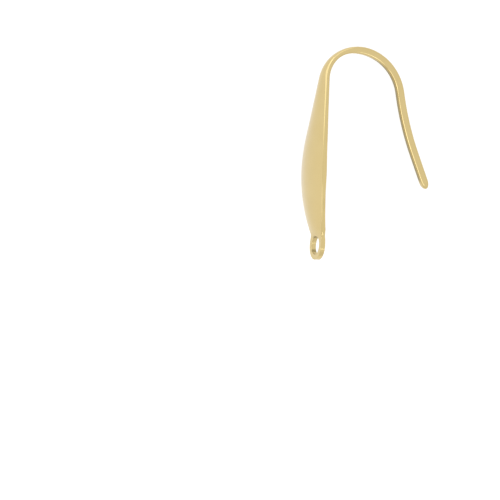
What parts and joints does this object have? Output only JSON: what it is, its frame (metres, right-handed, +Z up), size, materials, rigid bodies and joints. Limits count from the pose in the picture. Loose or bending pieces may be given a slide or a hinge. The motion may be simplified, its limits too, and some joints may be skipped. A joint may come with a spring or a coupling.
{
  "type": "ear wire",
  "caption": "Flat-front ear wire: a leaf-shaped polished bar with a closed eye below it, and a round-cornered wire bent over the crown to a flared back leg.",
  "frame": {"origin": "under the middle of the bounding box, on the surface that the ear wire lies on", "axes": "+Y from the eye towards the crown, +X from the front bar towards the back leg, +Z up from the surface"},
  "size_m": [0.013, 0.0212, 0.0054],
  "materials": {
    "gold": "polished gold-filled"
  },
  "bodies": {
    "root": {"ear_wire": "gold"}
  },
  "joints": []
}
